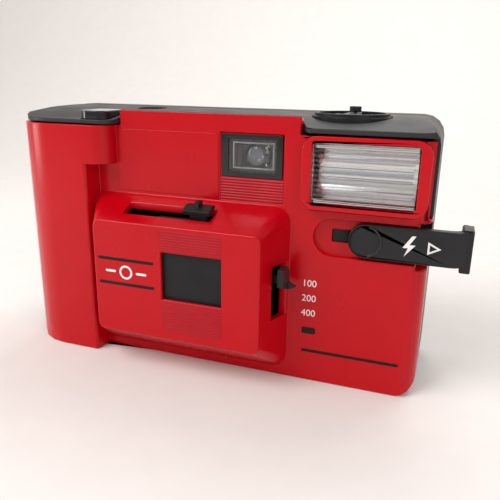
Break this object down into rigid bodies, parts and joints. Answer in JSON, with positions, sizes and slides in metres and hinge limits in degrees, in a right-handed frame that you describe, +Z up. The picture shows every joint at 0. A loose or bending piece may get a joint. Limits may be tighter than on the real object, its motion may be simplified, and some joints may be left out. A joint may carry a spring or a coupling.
{
  "type": "35 mm compact flash camera",
  "caption": "Compact viewfinder camera with hand grip, stepped lens housing with sliding lens cover, built-in flash with slide-out switch, rewind crank and opening rear door.",
  "frame": {"origin": "middle of the flat base, halfway between the main front plane and the rear door", "axes": "+X towards the flash end (to the right seen from the front), +Y from the lens to the rear door, +Z up"},
  "size_m": [0.1363, 0.0484, 0.0776],
  "materials": {
    "red_shell": "satin-gloss moulded",
    "grey_cap": "satin moulded",
    "black_shell": "satin moulded",
    "gloss_black": "gloss",
    "clear_plastic": "clear moulded",
    "lens_glass": "polished",
    "reflector": "bright",
    "steel": "brushed",
    "brass": "plain",
    "white_plastic": "satin",
    "board": "matte",
    "sleeve": "printed sleeve"
  },
  "bodies": {
    "case": {"front_cover": "red_shell", "flash_bezel": "red_shell", "top_cover": "grey_cap", "main_chassis": "black_shell", "lens_cell": "black_shell", "viewfinder_tube": "black_shell", "flash_diffuser": "clear_plastic", "counter_window": "clear_plastic", "lens_front_element": "lens_glass", "lens_rear_element": "lens_glass", "viewfinder_window": "lens_glass", "viewfinder_eyepiece": "lens_glass", "flash_tube": "lens_glass", "flash_reflector": "reflector", "hinge_pin": "steel", "base_screw_1": "steel", "base_screw_2": "steel", "base_screw_3": "steel", "shutter_base": "steel", "release_axle": "steel", "cell_contact_1": "steel", "cell_contact_2": "steel", "tripod_bush": "brass", "switch_contact": "brass", "flash_board": "board", "flash_transformer": "board", "flash_capacitor": "sleeve", "battery_1": "sleeve", "battery_2": "sleeve"},
    "door": {"film_door": "black_shell", "pressure_spring": "steel"},
    "pressure": {"pressure_plate": "black_shell"},
    "latch": {"door_latch": "black_shell"},
    "lens_shield": {"lens_cover": "black_shell"},
    "speed": {"film_speed_slide": "black_shell"},
    "blade": {"shutter_blade": "black_shell"},
    "button": {"shutter_button": "gloss_black"},
    "release": {"release_lever": "steel"},
    "rewind_lifter": {"rewind_collar": "black_shell"},
    "rewind": {"rewind_knob": "black_shell"},
    "crank": {"rewind_crank": "black_shell", "crank_grip": "black_shell"},
    "wheel": {"advance_wheel": "black_shell"},
    "spool": {"take_up_spool": "black_shell"},
    "sprocket": {"sprocket_shaft": "black_shell", "sprocket_gear": "white_plastic"},
    "counter": {"counter_disc": "white_plastic"},
    "switch": {"flash_slider": "black_shell"},
    "hatch": {"battery_hatch": "black_shell"}
  },
  "joints": [
    {"name": "film_door_hinge", "type": "hinge", "parent": "case", "child": "door", "pos_m": [-0.0613, 0.0149, 0.037], "axis": [0, 0, 1], "range_deg": [0, 100]},
    {"name": "pressure_plate_float", "type": "slide", "parent": "door", "child": "pressure", "axis": [0, 1, 0], "range_m": [0, 0.00025], "stiffness_N_per_m": 150},
    {"name": "door_latch_slide", "type": "slide", "parent": "door", "child": "latch", "axis": [0, 0, -1], "range_m": [0, 0.004], "stiffness_N_per_m": 60},
    {"name": "lens_cover_slide", "type": "slide", "parent": "case", "child": "lens_shield", "axis": [1, 0, 0], "range_m": [-0.0185, 0]},
    {"name": "film_speed_set", "type": "slide", "parent": "case", "child": "speed", "axis": [0, 0, 1], "range_m": [-0.0088, 0]},
    {"name": "shutter_blade_swing", "type": "hinge", "parent": "case", "child": "blade", "pos_m": [-0.008, -0.019, 0.0245], "axis": [0, 1, 0], "range_deg": [0, 50], "stiffness_Nm_per_rad": 0.002},
    {"name": "shutter_button_press", "type": "slide", "parent": "case", "child": "button", "axis": [0, 0, -1], "range_m": [0, 0.0012], "stiffness_N_per_m": 300, "springref_m": -0.001},
    {"name": "release_lever_turn", "type": "hinge", "parent": "case", "child": "release", "pos_m": [-0.0205, -0.0141, 0.0612], "axis": [0, -1, 0], "range_deg": [0, 5.6]},
    {"name": "rewind_lift", "type": "slide", "parent": "case", "child": "rewind_lifter", "axis": [0, 0, 1], "range_m": [0, 0.007]},
    {"name": "rewind_spin", "type": "hinge", "parent": "rewind_lifter", "child": "rewind", "pos_m": [0.0384, -0.0014, 0.074], "axis": [0, 0, 1], "continuous": true},
    {"name": "crank_fold", "type": "hinge", "parent": "rewind", "child": "crank", "pos_m": [0.0384, -0.0089, 0.0753], "axis": [1, 0, 0], "range_deg": [0, 95]},
    {"name": "advance_spin", "type": "hinge", "parent": "case", "child": "wheel", "pos_m": [-0.0332, 0.0038, 0.06], "axis": [0, 0, 1], "continuous": true},
    {"name": "spool_spin", "type": "hinge", "parent": "case", "child": "spool", "pos_m": [-0.0332, 0.0038, 0.03], "axis": [0, 0, 1], "continuous": true},
    {"name": "sprocket_spin", "type": "hinge", "parent": "case", "child": "sprocket", "pos_m": [-0.0206, 0.0074, 0.03], "axis": [0, 0, 1], "continuous": true},
    {"name": "counter_spin", "type": "hinge", "parent": "case", "child": "counter", "pos_m": [-0.026, 0.0016, 0.071], "axis": [0, 0, 1], "continuous": true},
    {"name": "flash_switch_slide", "type": "slide", "parent": "case", "child": "switch", "axis": [1, 0, 0], "range_m": [-0.009, 0]},
    {"name": "battery_hatch_hinge", "type": "hinge", "parent": "case", "child": "hatch", "pos_m": [-0.0417, -0.007, 0.0003], "axis": [0, -1, 0], "range_deg": [0, 100]}
  ],
  "couplings": [
    {"joint": "release_lever_turn", "follows": "shutter_button_press", "rad_per_m": 77.5},
    {"joint": "spool_spin", "follows": "advance_spin", "ratio": 1},
    {"joint": "sprocket_spin", "follows": "advance_spin", "ratio": -1.6},
    {"joint": "counter_spin", "follows": "advance_spin", "ratio": 0.04}
  ]
}
